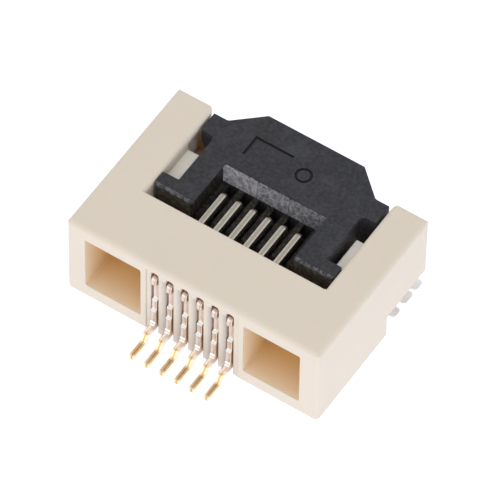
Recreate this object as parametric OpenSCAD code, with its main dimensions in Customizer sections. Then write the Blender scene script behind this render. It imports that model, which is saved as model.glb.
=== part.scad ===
// Right-angle slide-lock connector for a flat flexible cable, surface mounted.
// Millimetres, +Z up. The board plane is Z = 0, +X runs along the row of contacts and
// the cable enters from +Y. The slider is modelled pulled out, ready for the cable.

/* [Contacts] */
// number of contacts in the row
contact_count = 6; // [4:1:10]
// distance from one contact to the next
pitch = 1.0; // [1.0:0.05:1.25]
// thickness of the sheet that the contacts are stamped from
contact_t = 0.35; // [0.25:0.05:0.4]
// how far the solder tails reach out in front of the housing
tail_l = 2.3; // [1.9:0.1:2.8]

/* [Housing] */
// centre of an end contact to the outer side of the housing
end_w = 5.88; // [5.5:0.02:6.5]
// front face to the ends of the two arms
housing_d = 11.25; // [10.8:0.05:12.5]
// board to the top of the housing
housing_h = 6.05; // [5.9:0.05:6.6]
// front face to the opening between the arms
bar_d = 4.1; // [3.8:0.05:4.3]
// width of an arm, the mean of the two
arm_w = 2.38; // [2.1:0.02:2.48]
// height of the bed that the cable lies on
bed_h = 2.3; // [2.2:0.05:2.4]
// radius on the outer edges
edge_r = 0.28; // [0.2:0.02:0.3]

/* [Slider] */
// travel from open to locked
travel = 0.8; // [0.6:0.05:1.0]
// how far the slider's top lies below the top of the housing
slider_drop = 0.15; // [0.05:0.05:0.25]
// depth of the grip behind the wings
grip_d = 1.55; // [1.2:0.05:2.2]

/* [Cable] */
// thickness of the cable's stiffened end
cable_t = 0.3; // [0.2:0.02:0.34]

/* [Solder tabs] */
// thickness of the tabs' sheet
tab_t = 0.25; // [0.2:0.05:0.3]

/* [Hidden] */

$fn = 48;
eps = 0.02;

ivory = "#dacfbf";
black = "#2e2e30";
plated = "#b9b3ab";

// Across the row, measured from the middle of the contacts. The bay between the arms, and
// the slider's body in it, have their middle at bay_x, a little off the contacts' one.
bay_x = 0.1;
side_gap = 0.05;
field_half = (contact_count - 1) * pitch / 2;
cable_half = (contact_count + 1) * pitch / 2;
half_w = field_half + end_w;
opening_half = half_w - arm_w;
channel_half = cable_half + 0.1;
block_in = opening_half - 0.75;
cheek_half = block_in - 0.33;
window_half = field_half + 0.87;
pocket_in = field_half + 0.92;
pocket_out = half_w - 1.25;
lip_half = opening_half - side_gap;
wing_half = lip_half - 0.1;
contact_x = [for (i = [0:contact_count - 1]) i * pitch - field_half];

// From front to back, measured from the housing's front face, which is at front_y.
front_y = -5.0;
field_d = 0.05;
mouth_d = 0.6;
spine_front = 0.16;
spine_back = 1.35;
pocket_d = 2.7;
cavity_front = bar_d - 0.6;
block_l = 2.55;
slider_front = bar_d + travel + 0.03;
lip_back = slider_front + 0.98;
block_front = lip_back + 0.03;
block_back = block_front + block_l;
wing_front = block_back + travel + 0.23;
wing_back = wing_front + 1.38;
grip_back = wing_back + grip_d;
blade_l = 3.1;
blade_tip = bar_d + blade_l;
window_back = blade_tip + travel + 0.32;
window_foot = window_back - 0.24;
beam_tip = blade_tip + 0.6;
floor_back = housing_d - 0.8;
step_l = 4.2;
step_y = housing_d - step_l;

// From the board up. The slider's plate is what its lips, wings and grip are cut from.
slider_top = housing_h - slider_drop;
blade_top = housing_h - 0.95;
spine_top = housing_h - 0.75;
mouth_top = housing_h - 0.6;
block_top = housing_h - 1.0;
rib_top = housing_h - 1.5;
plate_bottom = bed_h + 1.1;
cheek_bottom = bed_h + 0.05;
tongue_bottom = bed_h + cable_t + 0.25;
slot_floor = tongue_bottom + 0.7;
groove_bottom = 0.75;
pocket_bottom = 0.91;
pocket_top = housing_h - 0.95;
step_h = 1.65;
grip_bottom = slider_top - 1.2;

// Widths of the contact's slots: held tight at the spine, free round the springs.
mouth_w = contact_t + 0.15;
groove_w = contact_t + 0.1;
slot_w = contact_t + 0.25;

// Solder tab: a leg pressed up into the arm and a foot with three fingers.
leg_x = half_w - 1.25;
leg_top = 4.3;
foot_reach = 3.1;
foot_front = housing_d - foot_reach;
foot_l = 3.0;
foot_back = foot_front + foot_l;
foot_out = half_w - 0.15;
leg_front = foot_front + 0.15;
leg_back = foot_back - 0.15;

// A point on the arc that rounds corner b of the path a-b-c.
function unit(v) = v / norm(v);
function round_corner(a, b, c, r, n = 6) =
    let (
        u = unit(a - b),
        v = unit(c - b),
        half = acos(u * v) / 2,
        centre = b + unit(u + v) * r / sin(half),
        start = b + u * r / tan(half) - centre,
        turn = (u.x * v.y - u.y * v.x > 0 ? -1 : 1) * (180 - 2 * half),
        from = atan2(start.y, start.x)
    )
    [for (i = [0:n]) centre + r * [cos(from + turn * i / n), sin(from + turn * i / n)]];

// A closed outline from corners given as [x, y, radius]; radius 0 leaves the corner sharp.
function outline(corners) =
    let (n = len(corners), xy = [for (c = corners) [c.x, c.y]])
    [for (i = [0:n - 1])
        each corners[i].z == 0
            ? [xy[i]]
            : round_corner(xy[(i + n - 1) % n], xy[i], xy[(i + 1) % n], corners[i].z)];

// The corners of a shape that is the same on both sides of x = 0, from its right-hand half.
function both_sides(right) =
    concat(right, [for (i = [len(right) - 1:-1:0]) [-right[i].x, right[i].y, right[i].z]]);

module box(low, high) {
    translate(low)
        cube(high - low);
}

// The shape on both sides of x = 0.
module pair() {
    children();
    mirror([1, 0, 0])
        children();
}

// A profile drawn in y and z, extruded along x about the middle.
module along_x(length) {
    rotate([90, 0, 90])
        linear_extrude(length, center = true)
            children();
}

// A profile drawn in x and z, extruded from y = back forwards to y = front.
module along_y(front, back) {
    translate([0, back, 0])
        rotate([90, 0, 0])
            linear_extrude(back - front)
                children();
}

// Takes the square edge off a top that ends along the path, with the solid on its left. The
// cut reaches out over the open side by more than a corner's fillet.
module round_top(path, r, top) {
    reach = 0.2;
    for (i = [0:len(path) - 2]) {
        run = path[i + 1] - path[i];
        translate([path[i].x, path[i].y, top])
            rotate([0, 0, atan2(run.y, run.x)])
                difference() {
                    translate([-eps, -reach, -r])
                        cube([norm(run) + 2 * eps, r + reach, r + eps]);
                    translate([-2 * eps, r, -r])
                        rotate([0, 90, 0])
                            cylinder(r = r, h = norm(run) + 4 * eps);
                }
    }
}

// Plan of the housing: the front bar and the two arms with the bay between them.
module housing_plan() {
    arm_r = 0.55;
    bay_r = 0.12;
    polygon(outline([
        [half_w, 0, edge_r],
        [half_w, housing_d, edge_r],
        [bay_x + opening_half, housing_d, arm_r],
        [bay_x + opening_half, bar_d, bay_r],
        [bay_x - opening_half, bar_d, bay_r],
        [bay_x - opening_half, housing_d, arm_r],
        [-half_w, housing_d, edge_r],
        [-half_w, 0, edge_r]
    ]));
}

// The bed under the cable, rooted in both arms, with a sloped lead-in at its open end.
module bed() {
    slope_l = 0.6;
    slope_h = 0.45;
    root = 0.2;
    along_x(2 * (opening_half + root))
        polygon([
            [cavity_front, 0],
            [floor_back, 0],
            [floor_back, bed_h - slope_h],
            [floor_back - slope_l, bed_h],
            [cavity_front, bed_h]
        ]);
}

// The stop that keeps the slider from being pulled out, on the inside of each arm.
module stop_block() {
    root = 0.2;
    box([block_in, block_front, bed_h - root], [opening_half + root, block_back, block_top]);
}

// A blind pocket that thins the front bar beside the contacts.
module front_pocket() {
    pocket_r = 0.12;
    along_y(-eps, pocket_d)
        polygon(outline([
            [pocket_in, pocket_bottom, pocket_r],
            [pocket_out, pocket_bottom, pocket_r],
            [pocket_out, pocket_top, pocket_r],
            [pocket_in, pocket_top, pocket_r]
        ]));
}

// The front of a contact's slot, open down to the board and rounded at its top.
module contact_mouth() {
    mouth_r = 0.4 * mouth_w;
    along_y(-eps, mouth_d)
        polygon(outline([
            [-mouth_w / 2, -eps, 0],
            [mouth_w / 2, -eps, 0],
            [mouth_w / 2, mouth_top, mouth_r],
            [-mouth_w / 2, mouth_top, mouth_r]
        ]));
}

// Space for one contact: the open mouth, the tight slot for the spine, the free grooves.
module contact_space() {
    contact_mouth();
    box([-contact_t / 2, -eps, -eps], [contact_t / 2, spine_back, spine_top]);
    box([-groove_w / 2, spine_back - eps, groove_bottom], [groove_w / 2, bar_d + eps, spine_top]);
    box([-groove_w / 2, spine_back, groove_bottom],
        [groove_w / 2, beam_tip + 0.4, bed_h + eps]);
}

// Under the end of each arm the housing is cut away for the solder tab.
module tab_space() {
    into_bed = 0.4;
    box([opening_half - into_bed, step_y, -eps], [half_w + eps, housing_d + eps, step_h]);
    box([leg_x, leg_front, step_h - eps], [leg_x + tab_t, leg_back, leg_top]);
}

// Relief in the inner wall of each arm, behind the stop.
module arm_relief() {
    relief_d = 0.5;
    box([opening_half - eps, block_back, bed_h + 0.6],
        [opening_half + relief_d, housing_d - 0.9, housing_h - 0.5]);
}

module housing() {
    inner_r = 0.3;
    bar_r = 0.15;
    field_edge = 0.55;
    left = bay_x - opening_half;
    right = bay_x + opening_half;
    outer_path = [[-half_w, housing_d], [-half_w, 0], [half_w, 0], [half_w, housing_d]];
    color(ivory)
    translate([0, front_y, 0])
    difference() {
        union() {
            linear_extrude(housing_h)
                housing_plan();
            translate([bay_x, 0, 0]) {
                bed();
                pair()
                    stop_block();
            }
        }
        round_top(outer_path, edge_r, housing_h);
        round_top([[half_w, housing_d], [right, housing_d]], edge_r, housing_h);
        round_top([[left, housing_d], [-half_w, housing_d]], edge_r, housing_h);
        round_top([[right, housing_d], [right, bar_d]], inner_r, housing_h);
        round_top([[left, bar_d], [left, housing_d]], inner_r, housing_h);
        round_top([[right, bar_d], [left, bar_d]], bar_r, housing_h);
        pair() {
            front_pocket();
            tab_space();
        }
        translate([bay_x, 0, 0])
            pair()
                arm_relief();
        // the contact field is set back a little from the front face
        box([-field_half - field_edge, -eps, -eps],
            [field_half + field_edge, field_d, mouth_top + 0.1]);
        // room for the end of the cable
        box([-channel_half, cavity_front, bed_h], [channel_half, bar_d + eps, tongue_bottom]);
        for (x = contact_x)
            translate([x, 0, 0])
                contact_space();
    }
}

// Plan of the slider's plate: lips in front, notches over the stops, wings and the grip.
module slider_plan() {
    lip_bevel = 0.2;
    grip_taper = 1.72;
    polygon(outline(both_sides([
        [lip_half - lip_bevel, slider_front, 0.08],
        [lip_half, slider_front + lip_bevel, 0.08],
        [lip_half, lip_back, 0.08],
        [cheek_half, lip_back, 0.08],
        [cheek_half, wing_front, 0.35],
        [wing_half, wing_front, 0.1],
        [wing_half, wing_back, 0.05],
        [cheek_half, wing_back, 0.3],
        [cheek_half - grip_taper, grip_back, 0.15]
    ])));
}

// Side view of the space under the grip, open to the back, with a lead-in for the cable.
module under_grip() {
    lead_l = 0.4;
    lead_h = 0.5;
    root_r = 0.15;
    along_x(2 * half_w)
        polygon([
            [wing_back - lead_l, cheek_bottom - 1],
            [grip_back + 1, cheek_bottom - 1],
            [grip_back + 1, grip_bottom],
            [wing_back + root_r, grip_bottom],
            [wing_back, grip_bottom - root_r],
            [wing_back, tongue_bottom + lead_h],
            [wing_back - lead_l, tongue_bottom]
        ]);
}

// The outer lower edge of a wing is bevelled, from the wing's edge to half way along it.
module wing_bevel() {
    edge_h = 0.85;
    bevel_w = 0.75;
    along_y(wing_front - eps, wing_back + eps)
        polygon([
            [wing_half + eps, slider_top - edge_h],
            [wing_half + eps, plate_bottom - eps],
            [wing_half - bevel_w, plate_bottom - eps]
        ]);
}

// The window over the contacts' springs, open to the front, with a back wall that leans back.
module window() {
    along_x(2 * window_half)
        polygon([
            [slider_front - 1, rib_top],
            [window_foot, rib_top],
            [window_back, slider_top],
            [window_back, slider_top + 1],
            [slider_front - 1, slider_top + 1]
        ]);
}

// The front edge of the slider's floor is bevelled above and below.
module floor_bevels() {
    bevel_l = 0.37;
    bevel_h = 0.4;
    lead_l = 0.6;
    lead_h = 0.25;
    along_x(2 * window_half)
        polygon([
            [slider_front - eps, rib_top - bevel_h],
            [slider_front + bevel_l, rib_top + eps],
            [slider_front - eps, rib_top + eps]
        ]);
    along_x(2 * window_half)
        polygon([
            [slider_front - eps, tongue_bottom - eps],
            [slider_front + lead_l, tongue_bottom - eps],
            [slider_front - eps, tongue_bottom + lead_h]
        ]);
}

// A fine line moulded into the slider's top where two inserts of its mould meet.
module insert_line() {
    line_w = 0.16;
    line_d = 0.08;
    line_l = 2.56;
    left = -cheek_half + 1.91;
    back = wing_back - 0.02;
    box([left, wing_front - 0.1, slider_top - line_d], [left + line_w, back, slider_top + eps]);
    box([left, back - line_w, slider_top - line_d], [left + line_l, back, slider_top + eps]);
}

// The round mark of an ejector pin.
module ejector_mark() {
    mark_r = 0.52;
    mark_w = 0.15;
    mark_d = 0.08;
    translate([0.7, wing_back - 0.86, slider_top - mark_d])
        difference() {
            cylinder(r = mark_r, h = 1);
            translate([0, 0, -eps])
                cylinder(r = mark_r - mark_w, h = 1 + 2 * eps);
        }
}

// The slider without its slots, about its own middle.
module slider_body() {
    lip_r = 0.12;
    difference() {
        union() {
            translate([0, 0, plate_bottom])
                linear_extrude(slider_top - plate_bottom)
                    slider_plan();
            box([-cheek_half, slider_front, cheek_bottom], [cheek_half, wing_back, slider_top]);
        }
        under_grip();
        pair()
            wing_bevel();
        window();
        floor_bevels();
        round_top([[-lip_half, slider_front], [lip_half, slider_front]], lip_r, slider_top);
        insert_line();
        ejector_mark();
    }
}

// A fine joint line down the window's back wall.
module joint_line() {
    joint_w = 0.08;
    joint_d = 0.05;
    along_x(joint_w)
        polygon([
            [window_foot - joint_d, rib_top],
            [window_foot + joint_d, rib_top],
            [window_back + joint_d, slider_top + eps],
            [window_back - joint_d, slider_top + eps]
        ]);
}

module slider() {
    joint_x = 1.05 * pitch;
    color(black)
    translate([0, front_y, 0])
    difference() {
        translate([bay_x, 0, 0])
            slider_body();
        // the cable's channel
        box([-channel_half, slider_front - eps, cheek_bottom - eps],
            [channel_half, wing_back + eps, tongue_bottom]);
        // one slot for each upper spring
        for (x = contact_x)
            box([x - slot_w / 2, slider_front - eps, slot_floor],
                [x + slot_w / 2, window_foot, rib_top + eps]);
        for (x = [-joint_x, joint_x])
            translate([x, 0, 0])
                joint_line();
    }
}

// One contact, seen from the side: solder tail, spine, and the fork of two springs.
module contact_profile() {
    // the tail rises from the board in a sloping stretch between its foot and its shoulder
    tail_t = 0.32;
    heel = -0.98;
    rise_l = 0.32;
    shoulder_bottom = 0.48;
    shoulder_top = shoulder_bottom + tail_t;
    lap = tail_t * tan(atan2(shoulder_bottom, rise_l) / 2);
    beam_root = 0.95;
    beam_bend = bar_d + 0.5;
    hook_bottom = slot_floor + 0.1;
    bump_top = tongue_bottom - cable_t;
    // three small teeth stamped into the front edge of the spine
    tooth_d = 0.1;
    tooth_l = 0.25;
    tooth_low = 0.94;
    tooth_gap = 1.05;
    teeth = [for (k = [2:-1:0])
        let (z = tooth_low + k * tooth_gap)
        each [
            [spine_front, z + tooth_l, 0],
            [spine_front - tooth_d, z, 0],
            [spine_front, z - tooth_d, 0]
        ]];
    polygon(outline(concat(
        [
            [-tail_l, 0, 0.05],
            [heel, 0, 0.15],
            [heel + rise_l, shoulder_bottom, 0.12],
            [spine_back, shoulder_bottom, 0],
            [spine_back, beam_root, 0],
            [beam_bend, beam_root, 1.5],
            [beam_tip - 0.9, 1.5, 1],
            [beam_tip, 1.7, 0.12],
            [beam_tip, bump_top - 0.35, 0.12],
            [beam_tip - 0.45, bump_top, 0.15],
            [beam_tip - 1.0, bump_top - 0.5, 0.4],
            [beam_bend - 0.2, 1.45, 1.5],
            [spine_back, 1.6, 0.25],
            [spine_back, blade_top - 0.75, 0.25],
            [blade_tip - 0.9, blade_top - 0.65, 0.15],
            [blade_tip - 0.65, hook_bottom, 0.1],
            [blade_tip - 0.2, hook_bottom, 0.15],
            [blade_tip, blade_top - 0.5, 0.3],
            [blade_tip, blade_top, 0.3],
            [spine_back + 0.15, blade_top, 0.1],
            [spine_back, spine_top, 0],
            [spine_front, spine_top, 0.3]
        ],
        teeth,
        [
            [spine_front, shoulder_top, 0],
            [heel + rise_l - lap, shoulder_top, 0.2],
            [heel - lap, tail_t, 0.15],
            [-tail_l, tail_t, 0.12]
        ]
    )));
}

module contact(i) {
    color(plated)
    translate([contact_x[i - 1], front_y, 0])
        along_x(contact_t)
            contact_profile();
}

// One solder tab on the +X side: an angle with a bent corner, its foot cut into fingers.
module solder_tab() {
    bend_r = 0.15;
    finger_r = 0.2;
    gap_r = 0.1;
    root = leg_x + tab_t + bend_r;
    gap_root = root + 0.1;
    leg_lap = 0.4;
    // where each gap between two fingers starts and ends, as parts of the foot's length
    gaps = [[0.23, 0.37], [0.67, 0.75]];
    color(plated)
    translate([0, front_y, 0]) {
        linear_extrude(tab_t)
            polygon(outline(concat(
                [[root, foot_front, 0], [foot_out, foot_front, finger_r]],
                [for (g = foot_l * gaps) each [
                    [foot_out, foot_front + g[0], finger_r],
                    [gap_root, foot_front + g[0], gap_r],
                    [gap_root, foot_front + g[1], gap_r],
                    [foot_out, foot_front + g[1], finger_r]
                ]],
                [[foot_out, foot_back, finger_r], [root, foot_back, 0]]
            )));
        along_y(foot_front, foot_back)
            polygon(outline([
                [leg_x, 0, bend_r + tab_t],
                [root + eps, 0, 0],
                [root + eps, tab_t, 0],
                [leg_x + tab_t, tab_t, bend_r],
                [leg_x + tab_t, step_h - leg_lap, 0],
                [leg_x, step_h - leg_lap, 0]
            ]));
        box([leg_x, leg_front, step_h - leg_lap - eps], [leg_x + tab_t, leg_back, leg_top]);
    }
}

module solder_tab_left() {
    mirror([1, 0, 0])
        solder_tab();
}

module solder_tab_right() {
    solder_tab();
}

housing();
slider();
solder_tab_left();
solder_tab_right();
for (i = [1:contact_count])
    contact(i);
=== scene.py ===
import bmesh
import bpy
import math
from mathutils import Matrix, Vector


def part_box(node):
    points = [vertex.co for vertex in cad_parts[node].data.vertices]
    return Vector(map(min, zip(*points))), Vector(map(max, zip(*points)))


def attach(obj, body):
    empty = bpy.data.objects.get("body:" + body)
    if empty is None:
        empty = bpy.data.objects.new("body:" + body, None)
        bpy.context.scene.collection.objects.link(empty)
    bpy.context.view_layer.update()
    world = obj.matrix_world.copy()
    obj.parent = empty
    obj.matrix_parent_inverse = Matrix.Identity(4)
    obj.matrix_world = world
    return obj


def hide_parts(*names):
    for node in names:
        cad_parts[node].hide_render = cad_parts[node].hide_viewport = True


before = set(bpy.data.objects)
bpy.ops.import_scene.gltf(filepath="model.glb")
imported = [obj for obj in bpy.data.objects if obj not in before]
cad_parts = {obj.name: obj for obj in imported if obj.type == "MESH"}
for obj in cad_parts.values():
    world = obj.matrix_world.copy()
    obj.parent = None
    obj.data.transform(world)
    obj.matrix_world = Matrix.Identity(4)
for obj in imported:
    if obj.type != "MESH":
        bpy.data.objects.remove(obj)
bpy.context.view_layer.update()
mm = 0.001
print("frame loaded:", len(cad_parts), "nodes")


def linearColour(hexText):
    channels = [int(hexText[i:i + 2], 16) / 255 for i in (1, 3, 5)]
    return [c / 12.92 if c <= 0.04045 else ((c + 0.055) / 1.055) ** 2.4 for c in channels] + [1.0]


# values and links go to inputs by name or number; stops are a colour ramp's places and colours
def addNode(tree, kind, settings=None, values=None, links=None, stops=None):
    node = tree.nodes.new(kind)
    for name, value in (settings or {}).items():
        setattr(node, name, value)
    for name, value in (values or {}).items():
        node.inputs[name].default_value = value
    for name, source in (links or {}).items():
        tree.links.new(source, node.inputs[name])
    for i, (place, colour) in enumerate(stops or []):
        elements = node.color_ramp.elements
        element = elements[i] if i < len(elements) else elements.new(place)
        element.position = place
        element.color = linearColour(colour)
    return node


def newMaterial(name):
    material = bpy.data.materials.new(name)
    material.use_nodes = True
    material.node_tree.nodes.clear()
    return material, material.node_tree


# 1 inside the box and inside its mirror image across X, 0 outside; low and high are in mm from the origin
def insideBox(tree, place, origin, low, high):
    middle = [c + (a + b) / 2 * mm for c, a, b in zip(origin, low, high)]
    half = [(b - a) / 2 * mm for a, b in zip(low, high)]
    mirrored = addNode(tree, "ShaderNodeVectorMath", {"operation": "ABSOLUTE"}, links={0: place})
    split = addNode(tree, "ShaderNodeSeparateXYZ", links={"Vector": mirrored.outputs["Vector"]})
    signed = addNode(tree, "ShaderNodeSeparateXYZ", links={"Vector": place})
    ends = (split.outputs["X"], signed.outputs["Y"], signed.outputs["Z"])
    near = [addNode(tree, "ShaderNodeMath", {"operation": "COMPARE"}, {1: m, 2: h}, {0: end}).outputs[0]
            for end, m, h in zip(ends, middle, half)]
    flat = addNode(tree, "ShaderNodeMath", {"operation": "MULTIPLY"}, links={0: near[0], 1: near[1]})
    return addNode(tree, "ShaderNodeMath", {"operation": "MULTIPLY"},
                   links={0: flat.outputs[0], 1: near[2]}).outputs[0]


# from 0 to 1 over each pitch of the contacts, starting this share of a pitch before a contact's middle
def shareOfPitch(tree, along, before):
    left, right = (end[0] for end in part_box("contact_1"))
    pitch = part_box("contact_2")[0][0] - left
    start = (left + right) / 2 - before * pitch
    row = addNode(tree, "ShaderNodeMapRange", {"clamp": False},
                  {"From Min": start, "From Max": start + pitch}, {"Value": along})
    return addNode(tree, "ShaderNodeMath", {"operation": "FRACT"},
                   links={0: row.outputs["Result"]}).outputs[0]


# every material ends so: edges rubbed round, the grain's relief, then the finish
def endMaterial(tree, colour, grain, p):
    bevel = addNode(tree, "ShaderNodeBevel", {"samples": 6}, {"Radius": p["edge"]})
    bump = addNode(tree, "ShaderNodeBump", values={"Strength": p["relief"], "Distance": p["reliefDepth"]},
                   links={"Height": grain.outputs["Fac"], "Normal": bevel.outputs["Normal"]})
    shader = addNode(tree, "ShaderNodeBsdfPrincipled", values=p["finish"],
                     links={"Base Color": colour.outputs["Color"], "Normal": bump.outputs["Normal"]})
    addNode(tree, "ShaderNodeOutputMaterial", links={"Surface": shader.outputs["BSDF"]})


camera = {
    "azimuth": 32.513,      # degrees, 0 looks along +Y
    "elevation": 53.773,
    "roll": 1.122,
    "distance": 384.6 * mm,
    "lens": 496.605,        # for a sensor of this width, both in mm
    "sensor": 36,
    "nearest": 10 * mm,
    "farthest": 10000 * mm,
    "target": Vector((0, -0.5, 3.0)) * mm,
    "offset": Vector((0.758, 0.908)) * mm,   # sideways and up, across the line of sight
}


def placeCamera(c):
    azimuth, elevation, roll = (math.radians(c[k]) for k in ("azimuth", "elevation", "roll"))
    back = Vector((math.sin(azimuth) * math.cos(elevation),
                   -math.cos(azimuth) * math.cos(elevation),
                   math.sin(elevation)))
    right = Vector((math.cos(azimuth), math.sin(azimuth), 0))
    up = back.cross(right)
    rolledRight = math.cos(roll) * right + math.sin(roll) * up
    rolledUp = back.cross(rolledRight)
    data = bpy.data.cameras.new("camera")
    data.lens = c["lens"]
    data.sensor_width = c["sensor"]
    data.clip_start = c["nearest"]
    data.clip_end = c["farthest"]
    eye = bpy.data.objects.new("camera", data)
    bpy.context.collection.objects.link(eye)
    place = c["target"] + back * c["distance"] + rolledRight * c["offset"].x + rolledUp * c["offset"].y
    turn = Matrix((rolledRight, rolledUp, back)).transposed().to_4x4()
    eye.matrix_world = Matrix.Translation(place) @ turn
    bpy.context.scene.camera = eye


placeCamera(camera)
print("camera placed")


# glass-filled polyester from a smooth mould: an even, dull ivory with a soft sheen. Painted shade: its
# recesses are painted orange, the more the less open they are, standing in for shade and for light through
# the walls
housingPlastic = {
    "open": "#E9DDCB",
    # painted shade: the colour of the least open recesses
    "paintedShade": "#DE9C5C",
    "openness": (0.12, 0.42),       # painted shade up to the first, open from the second
    "cavityReach": 3.0 * mm,
    # boxes are in mm from the middle of the front face's lower edge
    "pocket": [(0.0, "#FFEDD2"), (0.8, "#E5C28C")],   # painted light and shade in the open pockets: lighter at their mouth, darker and more orange towards their end
    "pocketLow": (3.3, 0.05, 0.89),
    "pocketHigh": (7.2, 2.75, 5.12),
    "stop": "#FCF7EC",              # painted light: the stops' tops, under the slider, painted paler and less yellow than the rest
    "stopLow": (5.1, 5.8, 4.9),
    "stopHigh": (6.12, 8.6, 5.1),
    # painted shadow on the ribs between the slots, from one contact's middle to the next: each rib is
    # painted darker towards +X, where the next contact's shadow falls
    "paintedRibShadow": [(0.0, "#FFFFFF"), (0.35, "#FFFFFF"), (0.5, "#F2F2F4"), (0.62, "#E0E1E4"), (0.75, "#D2D3D8")],
    "ribDepth": 0.1,                # to both sides of the front face
    "ribTop": 5.12,
    "cloud": {"Scale": 1 / (6 * mm), "Detail": 3},       # faint uneven colour from the flow in the mould
    "cloudShare": 0.06,
    "grain": {"Scale": 1 / (0.35 * mm), "Detail": 4},    # coarser than the mould's texture, to show
    "edge": 0.1 * mm,
    "relief": 0.06,
    "reliefDepth": 0.02 * mm,
    "finish": {"Roughness": 0.55, "IOR": 1.55, "Specular IOR Level": 0.4, "Subsurface Weight": 0.2,
               "Subsurface Scale": 0.15 * mm, "Subsurface Radius": (1.0, 0.6, 0.3)},
}


def makeHousingPlastic(p):
    material, tree = newMaterial("mouldedIvoryPolyester")
    place = addNode(tree, "ShaderNodeTexCoord").outputs["Object"]
    split = addNode(tree, "ShaderNodeSeparateXYZ", links={"Vector": place})
    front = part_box("housing")[0][1]
    origin = (0, front, 0)
    cloud = addNode(tree, "ShaderNodeTexNoise", values=p["cloud"], links={"Vector": place})
    grain = addNode(tree, "ShaderNodeTexNoise", values=p["grain"], links={"Vector": place})
    # painted shade: how open each place is picks between the plain ivory and the painted orange shade
    cavity = addNode(tree, "ShaderNodeAmbientOcclusion", {"samples": 16, "only_local": True},
                     {"Distance": p["cavityReach"]})
    plain = addNode(tree, "ShaderNodeValToRGB", links={"Fac": cavity.outputs["AO"]},
                    stops=list(zip(p["openness"], (p["paintedShade"], p["open"]))))
    # painted light and shade in the pockets, graded by depth behind the front face
    depth = addNode(tree, "ShaderNodeMapRange",
                    values={"From Min": front, "From Max": front + p["pocketHigh"][1] * mm},
                    links={"Value": split.outputs["Y"]})
    pocket = addNode(tree, "ShaderNodeValToRGB", links={"Fac": depth.outputs["Result"]}, stops=p["pocket"])
    inPocket = insideBox(tree, place, origin, p["pocketLow"], p["pocketHigh"])
    pocketed = addNode(tree, "ShaderNodeMixRGB",
                       links={"Fac": inPocket, "Color1": plain.outputs["Color"],
                              "Color2": pocket.outputs["Color"]})
    # painted light on the stops' tops, laid over the painted shade
    onStop = insideBox(tree, place, origin, p["stopLow"], p["stopHigh"])
    stopped = addNode(tree, "ShaderNodeMixRGB", values={"Color2": linearColour(p["stop"])},
                      links={"Fac": onStop, "Color1": pocketed.outputs["Color"]})
    # painted shadow: each rib darkens towards the next contact
    paintedRibShadow = addNode(tree, "ShaderNodeValToRGB", links={"Fac": shareOfPitch(tree, split.outputs["X"], 0)},
                   stops=p["paintedRibShadow"])
    rowHalf = (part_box("contact_6")[0][0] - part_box("contact_1")[0][0]) / 2 / mm
    onRibs = insideBox(tree, place, origin, (-rowHalf, -p["ribDepth"], 0),
                       (rowHalf, p["ribDepth"], p["ribTop"]))
    ribbed = addNode(tree, "ShaderNodeMixRGB", {"blend_type": "MULTIPLY"},
                     links={"Fac": onRibs, "Color1": stopped.outputs["Color"],
                            "Color2": paintedRibShadow.outputs["Color"]})
    colour = addNode(tree, "ShaderNodeMixRGB", {"blend_type": "MULTIPLY"}, {"Fac": p["cloudShare"]},
                     {"Color1": ribbed.outputs["Color"], "Color2": cloud.outputs["Fac"]})
    endMaterial(tree, colour, grain, p)
    return material


# black nylon from a spark-eroded mould: dull and finely grained, with paler clouds where it was handled;
# much of its
# light and shade is painted: a painted sheen inside the window, a painted reflection on the lips' front
# faces, lips' upper edges paler by wear and painted highlight, and painted shade in the grooves on top
sliderPlastic = {
    "plain": [(0.4, "#303033"), (0.75, "#47474B")],    # each list goes from the grain's hollows to its tops
    "scuff": "#4E4E53",
    "scuffs": {"From Min": 0.5, "From Max": 0.8, "To Max": 0.8},
    # boxes are in mm from the middle of the front face's upper edge; those from -1 take in the middle
    "wall": [(0.4, "#828084"), (0.65, "#DAD8DC")],     # painted sheen: the window's back face, of bare spark texture, painted light grey for the light it catches
    "wallLow": (-1, 3.14, -1.33),
    "wallHigh": (3.6, 3.4, -0.05),
    "insertsWithPaintedFalloff": [(0.0, "#FFFFFF"), (0.33, "#ECECEC"), (0.34, "#D4D4D4"), (0.66, "#CACACA"),
               (0.67, "#C2C2C2"), (1.0, "#B6B6B6")],   # its three mould inserts, from -X to +X, with painted light falling off towards +X
    "panelEnds": {"From Min": -3.3 * mm, "From Max": 3.5 * mm},
    "window": [(0.45, "#1C1A18"), (0.7, "#4C443C")],   # inside the window, painted lighter and browner than the plain black
    "windowLow": (-1, -0.1, -2.9),
    "windowHigh": (3.55, 3.14, -0.05),
    "front": [(0.45, "#39352F"), (0.7, "#6E665B")],    # painted reflection: the lips' front faces, painted lighter and browner for the light the ivory bar throws on them
    "frontLow": (3.4, -0.1, -2.9),
    "frontHigh": (6.3, 0.05, -0.12),
    "paintedHighlight": "#6C6B6E",                               # the lips' upper edges, paler in patches: part wear, part painted highlight
    "paintedHighlightLow": (3.55, -0.1, -0.12),
    "paintedHighlightHigh": (6.3, 0.2, 0.1),
    "patches": {"From Min": 0.42, "From Max": 0.6},
    "groove": "#1D1D1F",                               # painted shade in the fine lines on top
    "grooveLow": (-1, 4.07, -0.1),
    "grooveHigh": (4.5, 5.99, -0.02),
    "cloud": {"Scale": 1 / (1.4 * mm), "Detail": 6, "Roughness": 0.65},
    "grain": {"Scale": 1 / (0.22 * mm), "Detail": 6, "Roughness": 0.7},    # coarser than real, to show
    "edge": 0.06 * mm,
    "relief": 0.12,
    "reliefDepth": 0.03 * mm,
    "finish": {"Roughness": 0.5, "IOR": 1.53, "Specular IOR Level": 0.2},
}


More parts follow.
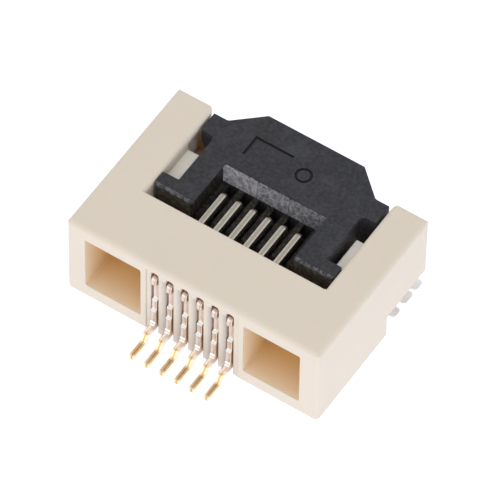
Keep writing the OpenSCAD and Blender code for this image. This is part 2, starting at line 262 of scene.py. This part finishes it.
def makeSliderPlastic(p):
    material, tree = newMaterial("mouldedBlackNylon")
    place = addNode(tree, "ShaderNodeTexCoord").outputs["Object"]
    split = addNode(tree, "ShaderNodeSeparateXYZ", links={"Vector": place})
    low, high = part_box("slider")
    origin = (0, low[1], high[2])
    cloud = addNode(tree, "ShaderNodeTexNoise", values=p["cloud"], links={"Vector": place})
    grain = addNode(tree, "ShaderNodeTexNoise", values=p["grain"], links={"Vector": place})
    tones = {k: addNode(tree, "ShaderNodeValToRGB", links={"Fac": grain.outputs["Fac"]}, stops=p[k])
             for k in ("plain", "wall", "window", "front")}
    masks = {k: insideBox(tree, place, origin, p[k + "Low"], p[k + "High"])
             for k in ("wall", "window", "front", "paintedHighlight", "groove")}
    # painted light falling off across the back face from -X to +X, stepped at the mould inserts
    along = addNode(tree, "ShaderNodeMapRange", values=p["panelEnds"], links={"Value": split.outputs["X"]})
    insertsWithPaintedFalloff = addNode(tree, "ShaderNodeValToRGB", links={"Fac": along.outputs["Result"]}, stops=p["insertsWithPaintedFalloff"])
    tones["wall"] = addNode(tree, "ShaderNodeMixRGB", {"blend_type": "MULTIPLY"}, {"Fac": 1},
                            {"Color1": tones["wall"].outputs["Color"], "Color2": insertsWithPaintedFalloff.outputs["Color"]})
    # paler patches on the lips' upper edges: part wear, part painted highlight
    patches = addNode(tree, "ShaderNodeMapRange", values=p["patches"], links={"Value": grain.outputs["Fac"]})
    masks["paintedHighlight"] = addNode(tree, "ShaderNodeMath", {"operation": "MULTIPLY"},
                              links={0: masks["paintedHighlight"], 1: patches.outputs["Result"]}).outputs[0]
    scuffs = addNode(tree, "ShaderNodeMapRange", values=p["scuffs"], links={"Value": cloud.outputs["Fac"]})
    colour = addNode(tree, "ShaderNodeMixRGB", values={"Color2": linearColour(p["scuff"])},
                     links={"Fac": scuffs.outputs["Result"], "Color1": tones["plain"].outputs["Color"]})
    # painted sheen on the window's back face, the inside of the window painted lighter, and painted
    # reflection on the lips' fronts
    for k in ("wall", "window", "front"):
        colour = addNode(tree, "ShaderNodeMixRGB",
                         links={"Fac": masks[k], "Color1": colour.outputs["Color"],
                                "Color2": tones[k].outputs["Color"]})
    # painted highlight patches on the lips, then painted shade in the grooves
    for k in ("paintedHighlight", "groove"):
        colour = addNode(tree, "ShaderNodeMixRGB", values={"Color2": linearColour(p[k])},
                         links={"Fac": masks[k], "Color1": colour.outputs["Color"]})
    endMaterial(tree, colour, grain, p)
    return material


# phosphor bronze, stamped and then plated, nickel on the whole and gold on the tails; across each sheet's
# thickness light and shade are painted in: painted highlights on edges, painted shade beside the spine's
# front edge, and painted glints on the teeth
contactMetal = {
    # colours across the sheet's thickness, from -X to +X, with painted highlights and painted shade in them
    # painted highlights along both edges of the blade, darker between
    "blade": [(0.0, "#DED9CE"), (0.3, "#B6AFA2"), (0.5, "#A59D90"), (0.7, "#B6AFA2"), (1.0, "#DED9CE")],
    # painted shade at -X and in a band before +X along the spine's front edge; the +X side face is painted
    # pale, as painted light
    "spine": [(0.0, "#B09B8A"), (0.25, "#E8D8CB"), (0.55, "#DDCCBE"), (0.8, "#BFA998"), (1.0, "#F6E2D0")],
    # painted highlights along the tail's edges; darker in the middle
    "tail": [(0.0, "#FFF4DC"), (0.3, "#F8DDB2"), (0.55, "#C69A68"), (0.8, "#FDE6BC"), (1.0, "#FFF4D8")],
    "ragged": 0.35,            # how far the bands wander, in sheet thicknesses
    # where one of them runs into the next, from the housing's front face
    "bladeEnd": 1.0 * mm,
    "spineBack": 0.6 * mm,
    "spineFront": -0.45 * mm,
    "tailBack": -0.8 * mm,
    "paintedHighlight": "#FFFFFF",       # painted highlight on the teeth's upward faces, below this height and behind this place
    "paintedGlintTop": 4.2 * mm,
    "paintedGlintFront": -0.27 * mm,
    "upward": {"From Min": 0.2, "From Max": 0.45},
    "grain": {"Scale": 1 / (0.12 * mm), "Detail": 4},    # coarser than the real tearing, to show
    "edge": 0.05 * mm,
    "relief": 0.2,
    "reliefDepth": 0.01 * mm,
    "finish": {"Metallic": 1.0, "Roughness": 0.3},
}


def makeContactMetal(p):
    material, tree = newMaterial("platedPhosphorBronze")
    place = addNode(tree, "ShaderNodeTexCoord").outputs["Object"]
    split = addNode(tree, "ShaderNodeSeparateXYZ", links={"Vector": place})
    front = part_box("housing")[0][1]
    grain = addNode(tree, "ShaderNodeTexNoise", values=p["grain"], links={"Vector": place})
    left, right = (end[0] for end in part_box("contact_1"))
    half = (right - left) / 2 / (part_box("contact_2")[0][0] - left)
    across = addNode(tree, "ShaderNodeMapRange", values={"From Min": 0.5 - half, "From Max": 0.5 + half},
                     links={"Value": shareOfPitch(tree, split.outputs["X"], 0.5)})
    uneven = addNode(tree, "ShaderNodeMath", {"operation": "MULTIPLY_ADD"}, {1: p["ragged"]},
                     {0: grain.outputs["Fac"], 2: across.outputs["Result"]})
    wander = addNode(tree, "ShaderNodeMath", {"operation": "SUBTRACT"}, {1: p["ragged"] / 2},
                     {0: uneven.outputs[0]})
    # light and shade painted across each sheet's thickness
    bands = {k: addNode(tree, "ShaderNodeValToRGB", links={"Fac": wander.outputs[0]}, stops=p[k])
             for k in ("blade", "spine", "tail")}
    toSpine, toTail = (addNode(tree, "ShaderNodeMapRange",
                               values={"From Min": front + p[start], "From Max": front + p[end]},
                               links={"Value": split.outputs["Y"]}).outputs["Result"]
                       for start, end in (("bladeEnd", "spineBack"), ("spineFront", "tailBack")))
    nickel = addNode(tree, "ShaderNodeMixRGB",
                     links={"Fac": toSpine, "Color1": bands["blade"].outputs["Color"],
                            "Color2": bands["spine"].outputs["Color"]})
    # painted glints: the teeth's upward faces are painted white
    geometry = addNode(tree, "ShaderNodeNewGeometry")
    facing = addNode(tree, "ShaderNodeSeparateXYZ", links={"Vector": geometry.outputs["Normal"]})
    upward = addNode(tree, "ShaderNodeMapRange", values=p["upward"], links={"Value": facing.outputs["Z"]})
    under = addNode(tree, "ShaderNodeMath", {"operation": "LESS_THAN"}, {1: p["paintedGlintTop"]},
                    {0: split.outputs["Z"]})
    behind = addNode(tree, "ShaderNodeMath", {"operation": "GREATER_THAN"}, {1: front + p["paintedGlintFront"]},
                     {0: split.outputs["Y"]})
    onTeeth = toSpine
    for share in (upward.outputs["Result"], under.outputs[0], behind.outputs[0]):
        onTeeth = addNode(tree, "ShaderNodeMath", {"operation": "MULTIPLY"},
                          links={0: onTeeth, 1: share}).outputs[0]
    paintedHighlight = addNode(tree, "ShaderNodeMixRGB", values={"Color2": linearColour(p["paintedHighlight"])},
                     links={"Fac": onTeeth, "Color1": nickel.outputs["Color"]})
    colour = addNode(tree, "ShaderNodeMixRGB",
                     links={"Fac": toTail, "Color1": paintedHighlight.outputs["Color"],
                            "Color2": bands["tail"].outputs["Color"]})
    endMaterial(tree, colour, grain, p)
    return material


contactShape = {
    "edge": 0.5 * mm,                     # the spine's front edge lies this near the housing's front face
    "bottom": 0.75 * mm,                  # and starts at this height
    "neck": 4.45 * mm,                    # the head begins above this, over a short shoulder
    "shoulder": 0.1 * mm,
    "headForward": 0.24 * mm,
    "headDown": 0.2 * mm,
    "toothTop": 3.04 * mm,                # the highest of three teeth on the edge
    "toothGap": 1.05 * mm,
    "toothSlack": 0.05,                   # a tooth's corners may lie this share of a gap too high
    "reach": (0.16, 0, -0.13, -0.2),      # where the edge stands above and below each tooth, mm
    "lift": (-0.05, 0.13, 0.15),          # how far each tooth is moved up, mm
    "toothCut": 0.18 * mm,                # taken off a tooth's height
    "bladeTip": 6.9 * mm,                 # behind this the blade's end is rounded in plan as well
    "tipRound": 0.13 * mm,
    "tipSteps": 3,
    "tipEdge": 0.02 * mm,                 # its edges are longer than this
    "tipLean": 0.01 * mm,                 # and run along the sheet to within this
    "rounding": 0.045 * mm,
    "roundingSteps": 2,
    "weld": 0.001 * mm,                   # corners nearer than this are one
    "flat": math.radians(2),              # and so are faces that turn by less
}


# a stamped contact: a rounded head, its front edge in steps, and its corners rubbed round
def makeContact(name, c):
    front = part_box("housing")[0][1]
    work = bmesh.new()
    work.from_mesh(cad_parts[name].data)
    bmesh.ops.remove_doubles(work, verts=work.verts, dist=c["weld"])
    bmesh.ops.dissolve_limit(work, angle_limit=c["flat"], verts=work.verts, edges=work.edges)
    for height in (c["neck"], c["neck"] + c["headForward"]):
        bmesh.ops.bisect_plane(work, geom=work.verts[:] + work.edges[:] + work.faces[:],
                               plane_co=(0, 0, height), plane_no=(0, 0, 1))
    for vert in work.verts:
        place = vert.co
        drop = (c["toothTop"] - place.z) / c["toothGap"] + c["toothSlack"]
        if not 0 <= place.y - front < c["edge"] or place.z < c["bottom"]:
            continue
        if place.z > c["neck"] + c["shoulder"]:
            place.y -= c["headForward"]
            place.z -= c["headDown"]
        elif drop > -0.5:
            above = drop % 1 > 0.5
            tooth = math.floor(drop) + above
            place.y = front + c["reach"][math.floor(drop) + 1] * mm
            place.z += c["lift"][tooth] * mm - above * c["toothCut"]
    tips = [edge for edge in work.edges
            if edge.calc_length() > c["tipEdge"]
            and all(vert.co.y - front > c["bladeTip"] and vert.co.z > c["neck"] for vert in edge.verts)
            and abs(edge.verts[0].co.x - edge.verts[1].co.x) < c["tipLean"]]
    bmesh.ops.bevel(work, geom=tips, offset=c["tipRound"], segments=c["tipSteps"], affect="EDGES",
                    profile=0.5)
    mesh = bpy.data.meshes.new(name + "_stamped")
    work.to_mesh(mesh)
    work.free()
    piece = bpy.data.objects.new(name + "_stamped", mesh)
    bpy.context.collection.objects.link(piece)
    bevel = piece.modifiers.new("rounding", "BEVEL")
    bevel.width = c["rounding"]
    bevel.segments = c["roundingSteps"]
    bevel.limit_method = "ANGLE"
    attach(piece, "housing")
    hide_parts(name)
    return piece


# stamped brass with matt tin: pale and softly bright all over, with no clear reflections
tabMetal = {
    "tin": [(0.3, "#F8F7F5"), (0.7, "#FFFFFF")],         # from the grain's hollows to its tops
    "grain": {"Scale": 1 / (0.15 * mm), "Detail": 4},    # coarser than the tin's crystals, to show
    "edge": 0.06 * mm,
    "relief": 0.2,
    "reliefDepth": 0.01 * mm,
    "finish": {"Metallic": 1.0, "Roughness": 0.45},
}


def makeTabMetal(p):
    material, tree = newMaterial("tinPlatedBrass")
    place = addNode(tree, "ShaderNodeTexCoord").outputs["Object"]
    grain = addNode(tree, "ShaderNodeTexNoise", values=p["grain"], links={"Vector": place})
    colour = addNode(tree, "ShaderNodeValToRGB", links={"Fac": grain.outputs["Fac"]}, stops=p["tin"])
    endMaterial(tree, colour, grain, p)
    return material


finishes = {
    "housing": makeHousingPlastic(housingPlastic),
    "slider": makeSliderPlastic(sliderPlastic),
    "contact": makeContactMetal(contactMetal),
    "solder_tab": makeTabMetal(tabMetal),
}
print("materials made:", len(finishes))

pieces = dict(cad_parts)
for name in [n for n in pieces if n.startswith("contact")]:
    pieces[name] = makeContact(name, contactShape)
for name, piece in pieces.items():
    kind = next(k for k in finishes if name.startswith(k))
    piece.data.materials.clear()
    piece.data.materials.append(finishes[kind])
print("pieces finished:", len(pieces))


studio = {
    "floorSize": 0.6,       # side of the floor, metres
    "floorGrey": 0.35,
    "floorGlow": 0.85,
    "floorTint": (0.99, 1.01, 1.12),
    "world": 0.72,
    # places, widths and heights in metres, power in watts; all of them face the part
    "lamps": {
        "frontLight": {"place": (0.08, -0.22, 0.10), "size": (0.16, 0.16), "power": 0.085,
                       "tint": (0.95, 1.0, 1.16)},
        "topLight": {"place": (-0.06, 0.02, 0.25), "size": (0.14, 0.14), "power": 0.056,
                     "tint": (1.0, 1.0, 1.0)},
        "stripLight": {"place": (-0.08, -0.22, 0.07), "size": (0.04, 0.14), "power": 0.03,
                       "tint": (1.0, 1.0, 1.0)},
        "sideLight": {"place": (0.22, 0.02, 0.08), "size": (0.14, 0.10), "power": 0.045,
                      "tint": (0.8, 0.97, 1.36)},
    },
}


# a sheet of glowing white paper, which also lights the part from below
def buildStudio(s):
    half = s["floorSize"] / 2
    corners = [(-half, -half, 0), (half, -half, 0), (half, half, 0), (-half, half, 0)]
    mesh = bpy.data.meshes.new("floor")
    mesh.from_pydata(corners, [], [(0, 1, 2, 3)])
    floor = bpy.data.objects.new("floor", mesh)
    bpy.context.collection.objects.link(floor)
    material, tree = newMaterial("whitePaper")
    white = addNode(tree, "ShaderNodeBsdfDiffuse", values={"Color": [s["floorGrey"]] * 3 + [1]})
    glow = addNode(tree, "ShaderNodeEmission",
                   values={"Color": [*s["floorTint"], 1], "Strength": s["floorGlow"]})
    both = addNode(tree, "ShaderNodeAddShader",
                   links={0: white.outputs["BSDF"], 1: glow.outputs["Emission"]})
    addNode(tree, "ShaderNodeOutputMaterial", links={"Surface": both.outputs["Shader"]})
    mesh.materials.append(material)
    world = bpy.data.worlds.new("studio")
    bpy.context.scene.world = world
    world.use_nodes = True
    background = world.node_tree.nodes["Background"]
    background.inputs["Color"].default_value = (1, 1, 1, 1)
    background.inputs["Strength"].default_value = s["world"]
    for name, lamp in s["lamps"].items():
        data = bpy.data.lights.new(name, "AREA")
        data.shape = "RECTANGLE"
        data.size, data.size_y = lamp["size"]
        data.energy = lamp["power"]
        data.color = lamp["tint"]
        light = bpy.data.objects.new(name, data)
        bpy.context.collection.objects.link(light)
        light.location = lamp["place"]
        light.rotation_euler = (-light.location).to_track_quat("-Z", "Y").to_euler()


buildStudio(studio)
bpy.context.scene.view_settings.view_transform = "Standard"
print("studio built")
